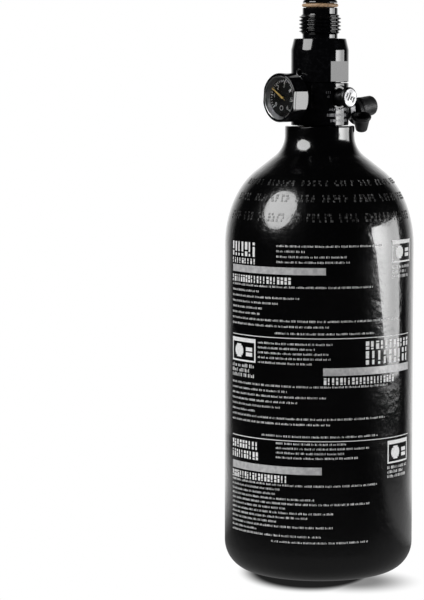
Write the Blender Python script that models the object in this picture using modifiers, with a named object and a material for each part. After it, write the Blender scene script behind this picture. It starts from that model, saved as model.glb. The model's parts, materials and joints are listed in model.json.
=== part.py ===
"""High-pressure air cylinder with a preset regulator, as separate solids.

Origin: centre of the base, on the surface the cylinder stands on. +Z runs up the cylinder's axis.
Azimuths are degrees about +Z, from 0 at -Y (the front) to 90 at +X (the right).
"""
import math

import bmesh
import bpy
from mathutils import Matrix, Vector

MM = 0.001
GAP = 0.3                      # clearance between neighbouring pieces, mm

# Cylinder
SHELL_R = 47.2                 # outer radius
SHELL_WALL = 9.0               # side wall, which leaves about 790 ml inside
SHELL_TOP = 223.6              # neck face
BASE_CORNER = 15.0             # radius between base and side
FLOOR_Z = 12.0                 # inside floor
INNER_CORNER = 13.0            # radius between inside floor and wall
INNER_CORE = 10.0              # the inside shoulder is a quarter ellipse too
INNER_RISE = 32.5
BASE_RIM_R = 27.0              # the base stands on a ring out to this radius,
BASE_HOLLOW = 2.4              # with a hollow of this depth inside it
NECK_R = 17.35
NECK_BORE_R = 8.2
SHOULDER_Z = 164.0             # the shoulder is a quarter ellipse from here up
SHOULDER_CORE = 17.0           # radius of the ellipse's centre
SHOULDER_RISE = 42.7
FILLET_R = 13.4                # between shoulder and neck
FILLET_Z = 219.0

# Regulator
BODY_R = 14.35
BODY_BOTTOM = 223.9
SEAM_Z = 245.1                 # where bonnet and body meet
BOSS_R = 10.3
BOSS_TOP = 248.5
TAIL_R = 7.9
TAIL_BOTTOM = 205.0
STEM_BORE_R = 5.0
SEAT_FLOOR = 228.7
SHOULDER_FACE = 266.8          # face that a threaded adapter seats on
NOSE_R = 8.75
THREAD_R = 10.45
THREAD_PITCH = 1.814           # 14 threads an inch
THREAD_BOTTOM = 269.3
THREAD_TOP = 278.5
NOSE_TOP = 287.3
VENT_AZ = -47.5                # spring chamber's vent hole
VENT_Z = 249.8
PISTON_BORE_R = 10.2
PISTON_R = 9.8
PISTON_TOP = 262.2
PISTON_HEAD = 258.2            # underside of its head
PISTON_CEILING = 262.5
WASHER_COUNT = 6               # dished spring washers, stacked face to face
WASHER_BOTTOM = 249.7
WASHER_PITCH = 1.3
WASHER_DISH = 0.4

# What is screwed into the regulator body: azimuth, height, port radius
PORT_FLOOR = 8.2               # distance of each port's floor from the regulator's axis
GAUGE_AZ = -47.0
LOW_PLUG_AZ = 47.0
HIGH_PLUG_AZ = -137.0
PORT_Z = 237.8
GAUGE_PORT_R = 4.9
PLUG_PORT_R = 4.3
FILL_AZ = 125.0
FILL_TILT = 7.5                # the fill nipple rises outwards by this angle
FILL_Z = 231.0                 # where its axis leaves the body's surface
GAUGE_TURN = -10.0             # how far the dial is turned in its case
GAUGE_FLAT_TURN = -5.0         # how far the case's wrench flats are turned
POINTER_ANGLE = 147.0          # degrees anticlockwise from the viewer's right

ROUND = 24                     # segments of a mid-sized turned piece

# Colours: base colour, roughness, metallic
FINISHES = {
    "black_paint": ((0.008, 0.008, 0.009), 0.10, 0.0),
    "black_anodised": ((0.012, 0.012, 0.014), 0.28, 0.6),
    "tan_seal": ((0.42, 0.25, 0.13), 0.45, 0.0),
    "black_seal": ((0.02, 0.02, 0.02), 0.6, 0.0),
    "nickel": ((0.62, 0.62, 0.63), 0.22, 1.0),
    "steel": ((0.55, 0.56, 0.58), 0.3, 1.0),
    "spring_steel": ((0.36, 0.37, 0.39), 0.35, 1.0),
    "brass": ((0.62, 0.45, 0.2), 0.3, 1.0),
    "bronze": ((0.45, 0.28, 0.14), 0.6, 1.0),
    "copper": ((0.75, 0.4, 0.25), 0.35, 1.0),
    "white_plastic": ((0.8, 0.8, 0.76), 0.4, 0.0),
    "dial_black": ((0.01, 0.01, 0.01), 0.5, 0.0),
    "pointer_gold": ((0.8, 0.62, 0.25), 0.35, 0.3),
    "clear_lens": ((0.9, 0.92, 0.93), 0.05, 0.0),
    "black_rubber": ((0.03, 0.03, 0.032), 0.55, 0.0),
}

for old in list(bpy.data.objects):
    bpy.data.objects.remove(old, do_unlink=True)

parts = bpy.data.collections.new("air_cylinder")
cutters = bpy.data.collections.new("cutters")
bpy.context.scene.collection.children.link(parts)
bpy.context.scene.collection.children.link(cutters)


# ---------------------------------------------------------------- helpers

def material(name):
    """Principled material of one finish."""
    made = bpy.data.materials.get(name)
    if made:
        return made
    colour, roughness, metallic = FINISHES[name]
    made = bpy.data.materials.new(name)
    made.use_nodes = True
    shader = made.node_tree.nodes["Principled BSDF"]
    shader.inputs["Base Color"].default_value = (*colour, 1.0)
    shader.inputs["Roughness"].default_value = roughness
    shader.inputs["Metallic"].default_value = metallic
    return made


def direction(azimuth, tilt=0.0):
    """Unit vector away from the axis at an azimuth, rising by a tilt."""
    a, t = math.radians(azimuth), math.radians(tilt)
    return Vector((math.sin(a) * math.cos(t), -math.cos(a) * math.cos(t), math.sin(t)))


def outward(azimuth, distance, z, tilt=0.0, turn=0.0):
    """Frame whose local Z points outwards and whose local X is the viewer's right."""
    out = direction(azimuth, tilt)
    right = Vector((0, 0, 1)).cross(out).normalized()
    up = out.cross(right)
    frame = Matrix((right, up, out)).transposed().to_4x4()
    place = Matrix.Translation(direction(azimuth) * distance * MM + Vector((0, 0, z * MM)))
    return place @ frame @ Matrix.Rotation(math.radians(turn), 4, "Z")


def arc(centre_r, centre_z, radius, start, end, count, rise=None):
    """Points (r, z) along an arc, or along an ellipse of another height."""
    rise = radius if rise is None else rise
    points = []
    for i in range(count + 1):
        a = math.radians(start + (end - start) * i / count)
        points.append((centre_r + radius * math.cos(a), centre_z + rise * math.sin(a)))
    return points


def add(name, mesh, finish, matrix=None, collection=None):
    """Object from a mesh, in its collection, at its place."""
    piece = bpy.data.objects.new(name, mesh)
    (collection or parts).objects.link(piece)
    if collection is cutters:
        piece.hide_render = True
        piece.display_type = "WIRE"
    else:
        mesh.materials.append(material(finish))
    piece.matrix_world = matrix or Matrix()
    return piece


def turned(name, profile, finish=None, steps=ROUND, ring=False, matrix=None, collection=None):
    """Turned piece: a profile of (r, z) mm, down its outer side, swept about local Z.

    A ring's profile is a closed loop that stays clear of the axis.
    """
    mesh = bpy.data.meshes.new(name)
    bm = bmesh.new()
    points = [bm.verts.new((r * MM, 0, z * MM)) for r, z in profile]
    for a, b in zip(points, points[1:] + (points[:1] if ring else [])):
        if a is not b:
            bm.edges.new((a, b))
    bm.to_mesh(mesh)
    bm.free()
    piece = add(name, mesh, finish, matrix, collection=collection)
    screw = piece.modifiers.new("Turn", "SCREW")
    screw.axis = "Z"
    screw.steps = steps
    screw.render_steps = steps
    screw.use_merge_vertices = True
    screw.merge_threshold = 1e-6
    screw.use_smooth_shade = True
    return piece


def seal(name, ring_r, section_r, finish, z=0.0, matrix=None, steps=18, sides=6):
    """O-ring: a circle swept about local Z."""
    loop = arc(ring_r, z, section_r, 90, -270, sides)[:-1]
    return turned(name, loop, finish, steps, ring=True, matrix=matrix)


def cylinder_mesh(name, radius, bottom, top, sides=16):
    """Mesh of a cylinder or a hexagon along Z, from bottom to top."""
    mesh = bpy.data.meshes.new(name)
    bm = bmesh.new()
    bmesh.ops.create_cone(bm, cap_ends=True, segments=sides, radius1=radius * MM,
                          radius2=radius * MM, depth=(top - bottom) * MM,
                          matrix=Matrix.Translation((0, 0, (top + bottom) / 2 * MM)))
    bm.to_mesh(mesh)
    bm.free()
    return mesh


def block_mesh(name, size, centre):
    """Mesh of a box."""
    mesh = bpy.data.meshes.new(name)
    bm = bmesh.new()
    bmesh.ops.create_cube(bm, size=1.0, matrix=Matrix.Translation(Vector(centre) * MM)
                          @ Matrix.Diagonal((*[s * MM for s in size], 1.0)))
    bm.to_mesh(mesh)
    bm.free()
    return mesh


def combine(piece, tool, operation="DIFFERENCE"):
    """Boolean with a cutter or a guide, kept as a modifier."""
    step = piece.modifiers.new(tool.name, "BOOLEAN")
    step.operation = operation
    step.solver = "EXACT"
    step.object = tool


def drill(piece, name, radius, bottom, top, matrix=None, sides=16):
    """Round hole along the matrix's local Z."""
    combine(piece, add(name, cylinder_mesh(name, radius, bottom, top, sides), None, matrix,
                       collection=cutters))


def passage(piece, name, start, end, radius=0.6):
    """Thin drilling between two points."""
    start, end = Vector(start), Vector(end)
    along = end - start
    place = Matrix.Translation(start * MM) @ along.to_track_quat("Z", "Y").to_matrix().to_4x4()
    drill(piece, name, radius, 0, along.length, place, sides=8)


def curve_mesh(name, curve):
    """Closed mesh of a curve, its caps welded on."""
    guide = bpy.data.objects.new(name + "_path", curve)
    bpy.context.scene.collection.objects.link(guide)
    bpy.context.view_layer.update()
    shape = guide.evaluated_get(bpy.context.evaluated_depsgraph_get())
    mesh = bpy.data.meshes.new_from_object(shape)
    mesh.name = name
    bpy.data.objects.remove(guide, do_unlink=True)
    bm = bmesh.new()
    bm.from_mesh(mesh)
    bmesh.ops.remove_doubles(bm, verts=bm.verts, dist=1e-6)
    bm.to_mesh(mesh)
    bm.free()
    return mesh


def wire(name, points, radius, finish, matrix=None):
    """Coil or tube of round wire on a POLY spline, as a closed mesh."""
    curve = bpy.data.curves.new(name, "CURVE")
    curve.dimensions = "3D"
    curve.bevel_depth = radius * MM
    curve.bevel_resolution = 1
    curve.use_fill_caps = True
    spline = curve.splines.new("POLY")
    spline.points.add(len(points) - 1)
    for knot, point in zip(spline.points, points):
        knot.co = (point[0] * MM, point[1] * MM, point[2] * MM, 1.0)
    mesh = curve_mesh(name, curve)
    mesh.shade_smooth()
    return add(name, mesh, finish, matrix)


def flat_outline(name, corners, half_thickness, z=0.0):
    """Mesh of a flat shape: corners in the XY plane, extruded both ways from z."""
    outline = bpy.data.curves.new(name, "CURVE")
    outline.dimensions = "2D"
    outline.fill_mode = "BOTH"
    outline.extrude = half_thickness * MM
    spline = outline.splines.new("POLY")
    spline.points.add(len(corners) - 1)
    for knot, corner in zip(spline.points, corners):
        knot.co = (corner[0] * MM, corner[1] * MM, 0.0, 1.0)
    spline.use_cyclic_u = True
    mesh = curve_mesh(name, outline)
    mesh.transform(Matrix.Translation((0, 0, z * MM)))
    return mesh


def coil(radius, bottom, top, turns, per_turn=10):
    """Points of a helix about Z."""
    count = int(turns * per_turn)
    points = []
    for i in range(count + 1):
        a = math.tau * i / per_turn
        points.append((radius * math.cos(a), radius * math.sin(a),
                       bottom + (top - bottom) * i / count))
    return points


def axis_empty(name, matrix):
    """Empty on a joint's axis, which carries the piece that moves."""
    empty = bpy.data.objects.new(name, None)
    parts.objects.link(empty)
    empty.matrix_world = matrix
    return empty


def hang_on(piece, empty):
    """Parent a piece to its joint's empty and keep it where it is."""
    place = piece.matrix_world.copy()
    bpy.context.view_layer.update()
    piece.parent = empty
    piece.matrix_parent_inverse = empty.matrix_world.inverted()
    piece.matrix_basis = place


# ---------------------------------------------------------------- cylinder

def make_cylinder():
    """Aluminium shell: open neck, domed shoulder, rounded base with a shallow hollow."""
    reach = SHELL_R - SHOULDER_CORE
    outer = [(NECK_R - 0.6, SHELL_TOP), (NECK_R, SHELL_TOP - 0.6)]
    outer += arc(NECK_R + FILLET_R, FILLET_Z, FILLET_R, 180, 231.3, 3)
    outer += arc(SHOULDER_CORE, SHOULDER_Z, reach, 60.5, 0, 7, rise=SHOULDER_RISE)
    outer += arc(SHELL_R - BASE_CORNER, BASE_CORNER, BASE_CORNER, 0, -90, 5)
    outer += [(BASE_RIM_R, 0.0), (BASE_RIM_R - 5, BASE_HOLLOW / 2), (0.0, BASE_HOLLOW)]
    side = SHELL_R - SHELL_WALL
    inner = [(0.0, FLOOR_Z)]
    inner += arc(side - INNER_CORNER, FLOOR_Z + INNER_CORNER, INNER_CORNER, -90, 0, 3)
    inner += arc(INNER_CORE, SHOULDER_Z - 2, side - INNER_CORE, 0, 72, 4, rise=INNER_RISE)
    inner += [(11.5, SHELL_TOP - 23), (NECK_BORE_R, SHELL_TOP - 20)]
    inner += [(NECK_BORE_R, SHELL_TOP - 2.3), (11.2, SHELL_TOP - 2.3), (11.2, SHELL_TOP)]
    turned("cylinder_shell", inner + outer, "black_paint", steps=40)
    seal("neck_o_ring", 9.85, 0.95, "black_seal", z=SHELL_TOP - 1.05)


# ---------------------------------------------------------------- regulator

def make_body():
    """Regulator body with its threaded tail, stem bore, four ports and their drillings."""
    profile = [
        (STEM_BORE_R, BOSS_TOP), (BOSS_R, BOSS_TOP), (BOSS_R, SEAM_Z - GAP / 2),
        (BODY_R, SEAM_Z - GAP / 2), (BODY_R, BODY_BOTTOM + 0.4), (BODY_R - 0.4, BODY_BOTTOM),
        (TAIL_R, BODY_BOTTOM), (TAIL_R, TAIL_BOTTOM + 1), (TAIL_R - 1, TAIL_BOTTOM),
        (4.3, TAIL_BOTTOM), (4.3, TAIL_BOTTOM + 3.8), (2.5, TAIL_BOTTOM + 3.8),
        (2.5, SEAT_FLOOR), (STEM_BORE_R, SEAT_FLOOR),
    ]
    body = turned("regulator_body", profile, "black_anodised", ring=True)
    for name, azimuth, radius in (("gauge", GAUGE_AZ, GAUGE_PORT_R),
                                  ("low_plug", LOW_PLUG_AZ, PLUG_PORT_R),
                                  ("high_plug", HIGH_PLUG_AZ, PLUG_PORT_R)):
        drill(body, name + "_port", radius, PORT_FLOOR, 20, outward(azimuth, 0, PORT_Z))
        drill(body, name + "_spot_face", radius + 1.7, 13.2, 20, outward(azimuth, 0, PORT_Z))
    fill = outward(FILL_AZ, BODY_R, FILL_Z, FILL_TILT)
    drill(body, "fill_port", 4.6, -6.0, 6.0, fill)
    drill(body, "fill_spot_face", 6.0, -0.1, 6.0, fill)
    for name, azimuth in (("gauge", GAUGE_AZ), ("high_plug", HIGH_PLUG_AZ)):
        out = direction(azimuth)
        passage(body, name + "_drilling", out * 9.3 + Vector((0, 0, 236.2)),
                out * 1.8 + Vector((0, 0, 219.0)))
    fill_floor = fill @ Vector((0, 0, -5.5 * MM)) / MM
    passage(body, "fill_drilling", fill_floor, direction(FILL_AZ) * 1.8 + Vector((0, 0, 219.0)))
    passage(body, "low_drilling", direction(LOW_PLUG_AZ) * 9 + Vector((0, 0, PORT_Z)),
            direction(LOW_PLUG_AZ) * 4 + Vector((0, 0, PORT_Z)))


def make_bonnet():
    """Bonnet: piston bore, wrench flats, vent hole and the threaded nose with its valve bore."""
    thread = []
    z = THREAD_TOP
    while z - THREAD_PITCH > THREAD_BOTTOM - 0.1:
        thread += [(THREAD_R, z - 0.4), (9.35, z - THREAD_PITCH / 2 - 0.4)]
        z -= THREAD_PITCH
    profile = [(7.2, NOSE_TOP), (8.7, 284.9), (8.7, 284.4), (6.9, 284.4), (6.9, 282.0),
               (NOSE_R, 282.0), (NOSE_R, THREAD_TOP)] + thread
    profile += [(NOSE_R, THREAD_BOTTOM - 0.4), (NOSE_R, SHOULDER_FACE), (13.0, SHOULDER_FACE),
                (BODY_R, 261.2), (BODY_R, SEAM_Z + GAP / 2), (BOSS_R + GAP, SEAM_Z + GAP / 2),
                (BOSS_R + GAP, 248.9), (PISTON_BORE_R, 249.3), (PISTON_BORE_R, PISTON_CEILING),
                (2.6, PISTON_CEILING), (2.6, 267.0), (3.4, 267.0), (3.4, 273.5), (5.0, 273.5),
                (5.0, NOSE_TOP)]
    bonnet = turned("bonnet", profile, "black_anodised", steps=30, ring=True)
    for side in (0, 180):
        flat = block_mesh("wrench_flat", (40, 9.9, 6), (0, 0, 12.7 + 3))
        combine(bonnet, add("wrench_flat_%d" % side, flat, None, outward(50 + side, 0, 250.65),
                            collection=cutters))
    vent = outward(VENT_AZ, 0, VENT_Z)
    drill(bonnet, "vent_hole", 1.3, 9, 16, vent, sides=12)
    combine(bonnet, turned("vent_countersink", [(0, 16), (3.8, 16), (1.3, 13.5), (0, 13.5)],
                           steps=12, matrix=vent, collection=cutters))


def make_regulator_inside():
    """Inlet filter, seat, piston, its seals and spring washers."""
    turned("inlet_filter", [(0, 208.5), (4.0, 208.5), (4.0, 205.6), (0, 205.6)], "bronze", 16)
    turned("valve_seat", [(0.9, 231.3), (4.7, 231.3), (4.7, 229.0), (0.9, 229.0)],
           "white_plastic", 20, ring=True)
    turned("seat_retainer", [(3.2, 235.0), (4.7, 235.0), (4.7, 231.6), (3.2, 231.6)], "brass",
           20, ring=True)
    piston = turned("piston", [
        (0, 236.5), (1.0, 236.5), (1.0, PISTON_TOP), (PISTON_R, PISTON_TOP), (PISTON_R, 261.3),
        (8.0, 261.3), (8.0, 259.2), (PISTON_R, 259.2), (PISTON_R, PISTON_HEAD),
        (4.6, PISTON_HEAD), (4.6, 245.4), (3.4, 245.4), (3.4, 243.4), (4.6, 243.4),
        (4.6, 240.5), (2.4, 239.0), (2.4, 232.6), (0, 232.4)], "steel", 18)
    cross = Matrix.Translation((0, 0, 237.6 * MM)) @ Matrix.Rotation(math.pi / 2, 4, "X")
    drill(piston, "piston_cross_hole", 0.6, -5, 5, cross, sides=8)
    seal("piston_head_o_ring", 9.1, 0.75, "black_seal", z=260.25)
    seal("piston_stem_o_ring", 4.25, 0.6, "black_seal", z=244.4)
    turned("spring_shim", [(5.0, 249.4), (8.8, 249.4), (8.8, 248.8), (5.0, 248.8)],
           "spring_steel", 18, ring=True)
    for i in range(WASHER_COUNT):
        bottom = WASHER_BOTTOM + WASHER_PITCH * i
        inner, outer = (WASHER_DISH, 0.0) if i % 2 == 0 else (0.0, WASHER_DISH)
        turned("spring_washer_%d" % (i + 1),
               [(5.0, bottom + 0.6 + inner), (9.0, bottom + 0.6 + outer),
                (9.0, bottom + outer), (5.0, bottom + inner)], "spring_steel", 18, ring=True)


def make_pin_valve():
    """Sprung pin valve in the nose."""
    turned("valve_retainer", [(1.7, 286.2), (3.4, 286.6), (4.7, 286.6), (4.7, 278.9),
                              (1.7, 278.9)], "brass", 20, ring=True)
    pin = turned("valve_pin", [(0, 286.9), (0.9, 286.9), (1.25, 286.4), (1.25, 277.0),
                               (3.0, 277.0), (3.0, 274.8), (1.25, 274.8), (1.25, 272.5),
                               (0, 272.5)], "steel", 16)
    hang_on(pin, axis_empty("pin_axis", Matrix.Translation((0, 0, 277.0 * MM))))
    turned("valve_pin_seal", [(1.55, 278.3), (2.9, 278.3), (2.9, 277.3), (1.55, 277.3)],
           "black_seal", 16, ring=True)
    wire("valve_pin_spring", coil(2.5, 267.7, 274.1, 5, per_turn=8), 0.35, "spring_steel")
    seal("nose_o_ring", 8.15, 0.9, "tan_seal", z=283.2)


# ---------------------------------------------------------------- gauge

def make_gauge():
    """Dial gauge: case, stem, seal, Bourdon coil, dial, pointer, lens and bezel."""
    place = outward(GAUGE_AZ, 0, PORT_Z, turn=GAUGE_TURN)
    turned("gauge_stem", [(0.8, 21.2), (2.5, 21.2), (2.5, 17.8), (4.6, 17.8), (4.6, 9.2),
                          (3.9, 8.5), (0.8, 8.5)], "brass", 20, ring=True, matrix=place)
    seal("gauge_o_ring", 5.75, 0.8, "black_seal", z=15.9, matrix=place)
    case = turned("gauge_case", [(10.9, 26.2), (12.05, 26.2), (12.05, 19.1), (11.2, 18.1),
                                 (2.9, 18.1), (2.9, 20.4), (10.9, 20.4)],
                  "black_anodised", 32, ring=True, matrix=place)
    flats = []
    for side in (-1, 1):
        flat = block_mesh("gauge_flat", (3, 9.4, 16), (side * (11.1 + 1.5), -0.6, 21.5))
        flats.append(add("gauge_flat_%d" % side, flat, None,
                         outward(GAUGE_AZ, 0, PORT_Z, turn=GAUGE_FLAT_TURN), cutters))
        combine(case, flats[-1])
    spiral = []
    for i in range(23):
        a = math.tau * i / 10
        r = 2.6 + 4.6 * i / 22
        spiral.append((r * math.cos(a), r * math.sin(a), 22.4))
    wire("gauge_bourdon_coil", spiral, 0.6, "copper", place)
    turned("gauge_dial", [(0.9, 24.6), (10.5, 24.6), (10.5, 24.2), (0.9, 24.2)], "dial_black",
           24, ring=True, matrix=place)
    make_pointer()
    turned("gauge_lens", [(0, 27.0), (8.6, 27.0), (10.6, 26.2), (10.6, 25.4), (8.9, 25.4),
                          (8.9, 26.2), (0, 26.2)], "clear_lens", 24, matrix=place)
    bezel = turned("gauge_bezel", [(10.1, 27.6), (11.6, 27.6), (12.05, 27.2), (12.05, 26.5),
                                   (10.9, 26.5), (10.9, 26.8), (10.1, 27.3)],
                   "black_anodised", 32, ring=True, matrix=place)
    for flat in flats:
        combine(bezel, flat)


def make_pointer():
    """Flat pointer with a short tail, on its shaft, about the gauge's axis."""
    place = outward(GAUGE_AZ, 0, PORT_Z, turn=POINTER_ANGLE)
    corners = [(-2.4, 0.55), (-2.4, -0.55), (0.0, -0.75), (8.6, -0.18), (8.6, 0.18), (0.0, 0.75)]
    mesh = flat_outline("gauge_pointer", corners, 0.15, 25.1)
    pointer = add("gauge_pointer", mesh, "pointer_gold", place)
    combine(pointer, turned("pointer_shaft", [(0, 25.5), (1.3, 25.5), (1.3, 25.0), (0.5, 24.9),
                                              (0.5, 23.4), (0, 23.4)], steps=16, matrix=place,
                            collection=cutters), "UNION")
    hang_on(pointer, axis_empty("pointer_axis", outward(GAUGE_AZ, 25.1, PORT_Z)))


# ---------------------------------------------------------------- burst plugs

def make_burst_plug(prefix, azimuth, head_from, head_to, hexagonal):
    """Burst-disc plug: threaded shank, head, disc and the washer that holds the disc."""
    place = outward(azimuth, 0, PORT_Z)
    head_r = 5.15
    plug = turned(prefix + "_burst_plug", [
        (0, head_to), (head_r - 0.7, head_to), (head_r, head_to - 0.6), (head_r, head_from + 0.3),
        (head_r - 0.3, head_from), (4.0, head_from), (4.0, 9.2), (3.4, 8.5), (2.9, 8.5),
        (2.9, 11.2), (1.2, 11.2), (1.2, head_to - 3.2), (0, head_to - 3.2)],
        "nickel", 20, matrix=place)
    if hexagonal:
        blank = add(prefix + "_hexagon", cylinder_mesh(prefix, 5.2, 8.0, 30, 6), None, place,
                    collection=cutters)
        combine(plug, blank, "INTERSECT")
        drill(plug, prefix + "_vent", 1.2, head_to - 4, head_to + 1, place, sides=12)
    else:
        across = place @ Matrix.Translation((0, 0, (head_to - 4.0) * MM)) @ Matrix.Rotation(
            math.pi / 2, 4, "X")
        drill(plug, prefix + "_vent", 0.7, -6, 6, across, sides=8)
    turned(prefix + "_burst_disc", [(0, 10.9), (2.6, 10.9), (2.6, 10.6), (0, 10.6)], "copper",
           16, matrix=place)
    turned(prefix + "_burst_washer", [(1.0, 10.3), (2.6, 10.3), (2.6, 9.0), (1.0, 9.0)], "brass",
           16, ring=True, matrix=place)


# ---------------------------------------------------------------- fill nipple

def make_fill_nipple():
    """Quick-fill nipple with its check valve, dust cap and tethered rubber cup."""
    place = outward(FILL_AZ, BODY_R, FILL_Z, FILL_TILT)
    nipple = turned("fill_nipple", [
        (1.2, 16.4), (3.3, 16.4), (3.95, 15.7), (3.95, 13.4), (3.1, 12.8), (3.1, 11.8),
        (3.95, 11.2), (3.95, 9.2), (2.9, 8.6), (2.9, 4.6), (5.1, 4.2), (5.1, 1.6), (4.3, 1.2),
        (4.3, -5.0), (3.8, -5.6), (2.5, -5.6), (2.5, 4.0), (1.2, 5.6)], "steel", 20, ring=True,
        matrix=place)
    blank = add("nipple_hexagon", cylinder_mesh("nipple_hexagon", 5.3, -7, 18, 6), None, place,
                collection=cutters)
    combine(nipple, blank, "INTERSECT")
    seal("fill_nipple_o_ring", 5.1, 0.45, "black_seal", z=0.7, matrix=place)
    poppet = turned("check_poppet", [(0, 3.4), (1.3, 3.4), (2.1, 2.2), (2.1, 0.4), (0, 0.4)],
                    "brass", 16, matrix=place)
    hang_on(poppet, axis_empty("poppet_axis", place))
    wire("check_spring", coil(1.7, -4.3, -0.3, 4, per_turn=8), 0.3, "spring_steel", place)
    cap = turned("dust_cap", [
        (0, 19.0)] + arc(2.6, 16.6, 2.4, 90, 0, 3) + [
        (5.0, 9.4), (4.7, 9.0), (4.25, 9.0), (4.25, 17.1), (0, 17.1)], "black_rubber", 20,
        matrix=place)
    hang_on(cap, axis_empty("cap_axis", place))
    make_tether(place)


def make_tether(place):
    """One moulding: a loop on the nipple's shank, a strap and a small open cup."""
    loop = turned("cap_tether", [(0, 8.2), (6.6, 8.2), (6.6, 6.0), (0, 6.0)], "black_rubber", 24,
                  matrix=place @ Matrix.Translation((0, -1.5 * MM, 0)))
    drill(loop, "tether_hole", 3.2, 5, 9, place, sides=24)
    mouth = Vector((20.9, 2.8, 227.9))
    lean = Matrix.Rotation(math.radians(26), 4, "X")
    cup = turned("tether_cup", [(0, -5.8), (1.8, -5.8), (3.5, 0.6), (4.1, 0.9), (4.85, 0.5),
                                (4.85, -0.7), (4.1, -1.3), (2.9, -7.0), (2.4, -7.6), (0, -7.6)],
                 steps=20, matrix=Matrix.Translation(mouth * MM) @ lean, collection=cutters)
    combine(loop, cup, "UNION")
    route = [(17.5, 12.2), (18.2, 9.8), (19.3, 6.9)]
    combine(loop, strap_along("tether_strap", route, 1.4, 224.0, 228.5), "UNION")
    hang_on(loop, axis_empty("tether_axis", place))


def strap_along(name, route, thickness, low, high):
    """Flat strap on edge: a route in plan, given a thickness and a height."""
    sides = [[], []]
    for i, point in enumerate(route):
        before, after = route[max(i - 1, 0)], route[min(i + 1, len(route) - 1)]
        along = Vector((after[0] - before[0], after[1] - before[1])).normalized()
        across = Vector((-along.y, along.x)) * thickness / 2
        sides[0].append(Vector(point) + across)
        sides[1].append(Vector(point) - across)
    mesh = flat_outline(name, sides[0] + sides[1][::-1], (high - low) / 2)
    return add(name, mesh, None, Matrix.Translation((0, 0, (low + high) / 2 * MM)),
               collection=cutters)


make_cylinder()
make_body()
make_bonnet()
make_regulator_inside()
make_pin_valve()
make_gauge()
make_burst_plug("low", LOW_PLUG_AZ, 18.2, 20.6, hexagonal=False)
make_burst_plug("high", HIGH_PLUG_AZ, 14.6, 18.2, hexagonal=True)
make_fill_nipple()
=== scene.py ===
"""Looks of the high-pressure air cylinder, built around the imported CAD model.

Lengths are millimetres unless a name says otherwise; azimuths are degrees from the
front (-Y) towards +X.
"""
import json
import math
import random

import bmesh
import bpy
from mathutils import Matrix, Vector


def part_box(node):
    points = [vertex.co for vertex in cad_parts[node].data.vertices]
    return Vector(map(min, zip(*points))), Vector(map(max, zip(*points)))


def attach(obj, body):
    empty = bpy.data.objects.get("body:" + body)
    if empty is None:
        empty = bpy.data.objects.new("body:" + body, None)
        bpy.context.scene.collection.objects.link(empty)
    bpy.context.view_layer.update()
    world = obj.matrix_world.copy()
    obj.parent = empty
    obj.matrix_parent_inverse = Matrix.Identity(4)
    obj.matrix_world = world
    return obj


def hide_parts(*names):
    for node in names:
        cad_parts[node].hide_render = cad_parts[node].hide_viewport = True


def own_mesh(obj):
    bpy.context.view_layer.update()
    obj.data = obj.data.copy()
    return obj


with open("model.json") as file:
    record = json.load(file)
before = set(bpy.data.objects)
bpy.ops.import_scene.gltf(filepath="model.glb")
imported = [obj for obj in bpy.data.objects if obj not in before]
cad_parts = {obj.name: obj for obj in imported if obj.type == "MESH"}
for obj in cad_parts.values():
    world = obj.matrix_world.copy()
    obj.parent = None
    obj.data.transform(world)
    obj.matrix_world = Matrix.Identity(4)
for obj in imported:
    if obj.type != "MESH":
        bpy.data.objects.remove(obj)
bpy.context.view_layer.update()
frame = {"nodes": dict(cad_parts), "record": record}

MM = 0.001


def size_mm(node, axis, side):
    """One face of a CAD node's box, in mm: side 0 is the low one."""
    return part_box(node)[side][axis] / MM


# Driving sizes, read from the CAD frame
SHELL_R = size_mm("cylinder_shell", 0, 1)
SHELL_TOP = size_mm("cylinder_shell", 2, 1)
BODY_R = size_mm("regulator_body", 0, 1)
BODY_TOP = 244.95
BODY_BOTTOM = SHELL_TOP + 0.3
BONNET_BOTTOM = size_mm("bonnet", 2, 0)
NOSE_TOP = size_mm("bonnet", 2, 1)

# The same shapes as the CAD, where a box can't give them
BASE_CORNER = 15.0
NECK_R = 17.35
NECK_BORE_R = 8.2
SHOULDER_Z = 164.0
SHOULDER_CORE = 17.0
SHOULDER_RISE = 42.7
FILLET_R = 13.4
FILLET_Z = 219.0
SHOULDER_FACE = 266.8
NOSE_R = 8.75
THREAD_R = 10.45
THREAD_ROOT = 9.3
THREAD_PITCH = 1.814
THREAD_BOTTOM = 269.3
THREAD_TOP = 278.5
GAUGE_AZ = -47.0
GAUGE_TURN = -10.0
FLAT_TURN = -5.0
POINTER_ANGLE = 147.0
LOW_PLUG_AZ = 47.0
HIGH_PLUG_AZ = -137.0
PORT_Z = 237.8
FILL_AZ = 125.0
FILL_TILT = 7.5
FILL_Z = 231.0
VENT_AZ = -47.5
VENT_Z = 249.8
SEAM_DOT_Z = 246.6

visible = bpy.data.collections.new("looks")
helpers = bpy.data.collections.new("helpers")
bpy.context.scene.collection.children.link(visible)
bpy.context.scene.collection.children.link(helpers)


# ---------------------------------------------------------------- materials

def new_material(name, colour, roughness, metallic=0.0, **extra):
    """Principled material; extra sets more of the shader's own sockets, as Coat_Weight=1.0."""
    made = bpy.data.materials.new(name)
    made.use_nodes = True
    shader = shader_of(made)
    shader.inputs["Base Color"].default_value = (*colour, 1.0)
    shader.inputs["Roughness"].default_value = roughness
    shader.inputs["Metallic"].default_value = metallic
    for socket, value in extra.items():
        shader.inputs[socket.replace("_", " ")].default_value = value
    return made


def shader_of(material):
    """The material's Principled shader."""
    return material.node_tree.nodes["Principled BSDF"]


def node(material, kind, **values):
    """Node of a material, with its sockets' values, as to_min=0.2."""
    made = material.node_tree.nodes.new(kind)
    for name, value in values.items():
        made.inputs[name.replace("_", " ").title()].default_value = value
    return made


def link(material, source, target):
    """Link between two sockets."""
    material.node_tree.links.new(source, target)


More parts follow.
